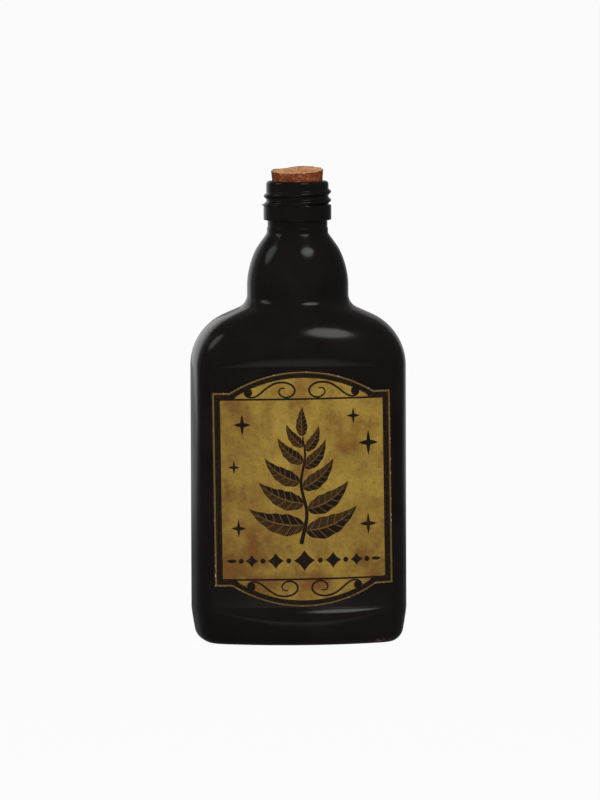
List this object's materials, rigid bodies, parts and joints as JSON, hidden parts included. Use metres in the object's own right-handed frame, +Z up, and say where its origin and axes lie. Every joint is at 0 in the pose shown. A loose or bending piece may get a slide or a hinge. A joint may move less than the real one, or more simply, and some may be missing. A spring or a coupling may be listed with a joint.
{
  "type": "corked poison bottle",
  "caption": "Black lacquered oblong glass bottle with recessed label panels, bulb neck, threaded finish, arched paper front label and a tapered cork that pulls out.",
  "frame": {"origin": "middle of the standing face, on the axis of the neck", "axes": "+Z up along the neck, +X across the broad front to the viewer's right, -Y out of the labelled front"},
  "size_m": [0.0866, 0.064, 0.1903],
  "materials": {
    "black_glass": "gloss black lacquer on glass, opaque",
    "label_paper": "aged printed paper, satin",
    "cork": "natural cork, matt"
  },
  "bodies": {
    "bottle": {"bottle": "black_glass", "front_label": "label_paper"},
    "stopper": {"cork_stopper": "cork"}
  },
  "joints": [
    {"name": "cork_pull", "type": "slide", "parent": "bottle", "child": "stopper", "axis": [0, 0, 1], "range_m": [0, 0.02]}
  ]
}
